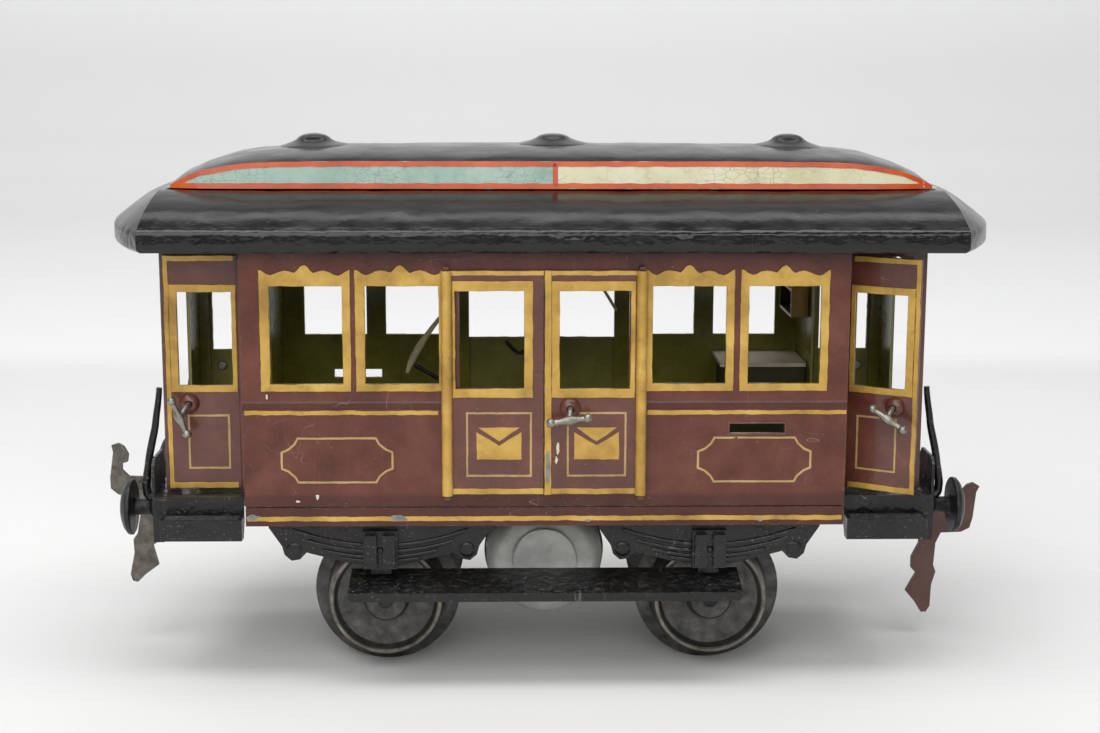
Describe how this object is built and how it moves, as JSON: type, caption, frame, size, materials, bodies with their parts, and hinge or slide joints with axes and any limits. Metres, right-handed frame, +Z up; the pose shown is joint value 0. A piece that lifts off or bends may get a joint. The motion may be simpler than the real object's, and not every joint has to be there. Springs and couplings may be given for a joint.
{
  "type": "model railway coach",
  "caption": "Tinplate toy mail coach with lift-off clerestory roof, hinged doors, open vestibules, turning wheelsets and swinging hook couplings.",
  "frame": {"origin": "on the flat surface the wheel flanges stand on, under the middle of the body", "axes": "+X along the track toward the end with the lowered hook, +Y across toward the far side, +Z up"},
  "size_m": [0.2674, 0.1032, 0.1554],
  "materials": {
    "black_chassis": "gloss, speckled and chipped",
    "brown_tinplate": "gloss reddish brown with hand-painted gold lines, olive inside",
    "black_roof": "gloss black, worn",
    "cream_band": "crackled cream and pale blue-green with orange lines, black top",
    "bare_tin": "dull bare tin",
    "grey_tank": "grey, chipped",
    "dark_steel": "dull dark steel",
    "wheel_metal": "dull grey-brown",
    "red_brown_plate": "satin reddish brown",
    "cream_counter": "matt cream over a dark carcass",
    "ochre_rack": "matt ochre brown, olive inside, bare shelf edges"
  },
  "bodies": {
    "coach": {"floor_pan": "black_chassis", "platform_left": "black_chassis", "platform_right": "black_chassis", "running_board_near": "black_chassis", "running_board_far": "black_chassis", "axle_guard_near_left": "black_chassis", "axle_guard_near_right": "black_chassis", "axle_guard_far_left": "black_chassis", "axle_guard_far_right": "black_chassis", "axle_hanger_left": "black_chassis", "axle_hanger_right": "black_chassis", "side_wall_near": "brown_tinplate", "side_wall_far": "brown_tinplate", "vestibule_left": "brown_tinplate", "vestibule_right": "brown_tinplate", "bulkhead_left": "brown_tinplate", "bulkhead_right": "brown_tinplate", "hinge_pin_near_left": "bare_tin", "hinge_pin_near_right": "bare_tin", "hinge_pin_far_left": "bare_tin", "hinge_pin_far_right": "bare_tin", "handrail_near_left": "bare_tin", "handrail_near_right": "bare_tin", "handrail_far_left": "bare_tin", "handrail_far_right": "bare_tin", "gas_tank": "grey_tank", "buffer_near_left": "dark_steel", "buffer_near_right": "dark_steel", "buffer_far_left": "dark_steel", "buffer_far_right": "dark_steel", "sorting_counter": "cream_counter", "letter_rack": "ochre_rack"},
    "wheelset_left": {"axle_left": "dark_steel", "wheel_near_left": "wheel_metal", "wheel_far_left": "wheel_metal"},
    "wheelset_right": {"axle_right": "dark_steel", "wheel_near_right": "wheel_metal", "wheel_far_right": "wheel_metal"},
    "centre_leaf_near_left": {"leaf_near_left": "brown_tinplate"},
    "centre_leaf_near_right": {"leaf_near_right": "brown_tinplate"},
    "centre_leaf_far_right": {"leaf_far_right": "brown_tinplate"},
    "centre_leaf_far_left": {"leaf_far_left": "brown_tinplate"},
    "centre_handle_near": {"leaf_handle_near": "bare_tin"},
    "centre_handle_far": {"leaf_handle_far": "bare_tin"},
    "vestibule_door_near_left": {"door_near_left": "brown_tinplate"},
    "vestibule_handle_near_left": {"door_handle_near_left": "bare_tin"},
    "vestibule_door_near_right": {"door_near_right": "brown_tinplate"},
    "vestibule_handle_near_right": {"door_handle_near_right": "bare_tin"},
    "vestibule_door_far_right": {"door_far_right": "brown_tinplate"},
    "vestibule_handle_far_right": {"door_handle_far_right": "bare_tin"},
    "vestibule_door_far_left": {"door_far_left": "brown_tinplate"},
    "vestibule_handle_far_left": {"door_handle_far_left": "bare_tin"},
    "hook_left": {"coupling_left": "dark_steel"},
    "hook_right": {"coupling_right": "red_brown_plate"},
    "roof": {"roof_shell": "black_roof", "clerestory": "cream_band", "ventilator_left": "black_roof", "ventilator_centre": "black_roof", "ventilator_right": "black_roof"}
  },
  "joints": [
    {"name": "wheelset_left_spin", "type": "hinge", "parent": "coach", "child": "wheelset_left", "pos_m": [-0.0464, 0, 0.0215], "axis": [0, 1, 0], "continuous": true},
    {"name": "wheelset_right_spin", "type": "hinge", "parent": "coach", "child": "wheelset_right", "pos_m": [0.0486, 0, 0.0215], "axis": [0, 1, 0], "continuous": true},
    {"name": "leaf_near_left_hinge", "type": "hinge", "parent": "coach", "child": "centre_leaf_near_left", "pos_m": [-0.0277, -0.0462, 0.088], "axis": [0, 0, -1], "range_deg": [0, 110]},
    {"name": "leaf_near_right_hinge", "type": "hinge", "parent": "coach", "child": "centre_leaf_near_right", "pos_m": [0.0267, -0.0462, 0.088], "axis": [0, 0, 1], "range_deg": [0, 110]},
    {"name": "leaf_far_right_hinge", "type": "hinge", "parent": "coach", "child": "centre_leaf_far_right", "pos_m": [0.0277, 0.0462, 0.088], "axis": [0, 0, -1], "range_deg": [0, 110]},
    {"name": "leaf_far_left_hinge", "type": "hinge", "parent": "coach", "child": "centre_leaf_far_left", "pos_m": [-0.0267, 0.0462, 0.088], "axis": [0, 0, 1], "range_deg": [0, 110]},
    {"name": "leaf_handle_near_turn", "type": "hinge", "parent": "centre_leaf_near_right", "child": "centre_handle_near", "pos_m": [0.0068, -0.0456, 0.0812], "axis": [0, -1, 0], "range_deg": [-90, 90]},
    {"name": "leaf_handle_far_turn", "type": "hinge", "parent": "centre_leaf_far_left", "child": "centre_handle_far", "pos_m": [-0.0068, 0.0456, 0.0812], "axis": [0, 1, 0], "range_deg": [-90, 90]},
    {"name": "door_near_left_hinge", "type": "hinge", "parent": "coach", "child": "vestibule_door_near_left", "pos_m": [-0.0867, -0.0313, 0.088], "axis": [0, 0, 1], "range_deg": [0, 45]},
    {"name": "door_handle_near_left_turn", "type": "hinge", "parent": "vestibule_door_near_left", "child": "vestibule_handle_near_left", "pos_m": [-0.1019, -0.0313, 0.0799], "axis": [0, -1, 0], "range_deg": [-90, 90]},
    {"name": "door_near_right_hinge", "type": "hinge", "parent": "coach", "child": "vestibule_door_near_right", "pos_m": [0.0867, -0.0313, 0.088], "axis": [0, 0, -1], "range_deg": [-31, 14]},
    {"name": "door_handle_near_right_turn", "type": "hinge", "parent": "vestibule_door_near_right", "child": "vestibule_handle_near_right", "pos_m": [0.09973, -0.03913, 0.0799], "axis": [-0.515, -0.8572, 0], "range_deg": [-90, 90]},
    {"name": "door_far_right_hinge", "type": "hinge", "parent": "coach", "child": "vestibule_door_far_right", "pos_m": [0.0867, 0.0313, 0.088], "axis": [0, 0, 1], "range_deg": [0, 45]},
    {"name": "door_handle_far_right_turn", "type": "hinge", "parent": "vestibule_door_far_right", "child": "vestibule_handle_far_right", "pos_m": [0.1019, 0.0313, 0.0799], "axis": [0, 1, 0], "range_deg": [-90, 90]},
    {"name": "door_far_left_hinge", "type": "hinge", "parent": "coach", "child": "vestibule_door_far_left", "pos_m": [-0.0867, 0.0313, 0.088], "axis": [0, 0, -1], "range_deg": [0, 45]},
    {"name": "door_handle_far_left_turn", "type": "hinge", "parent": "vestibule_door_far_left", "child": "vestibule_handle_far_left", "pos_m": [-0.1019, 0.0313, 0.0799], "axis": [0, 1, 0], "range_deg": [-90, 90]},
    {"name": "coupling_left_swing", "type": "hinge", "parent": "coach", "child": "hook_left", "pos_m": [-0.078, 0, 0.042], "axis": [0, 1, 0], "range_deg": [-15, 1]},
    {"name": "coupling_right_swing", "type": "hinge", "parent": "coach", "child": "hook_right", "pos_m": [0.078, 0, 0.042], "axis": [0, 1, 0], "range_deg": [-15, 1]},
    {"name": "roof_lift", "type": "slide", "parent": "coach", "child": "roof", "axis": [0, 0, 1], "range_m": [0, 0.04]}
  ]
}
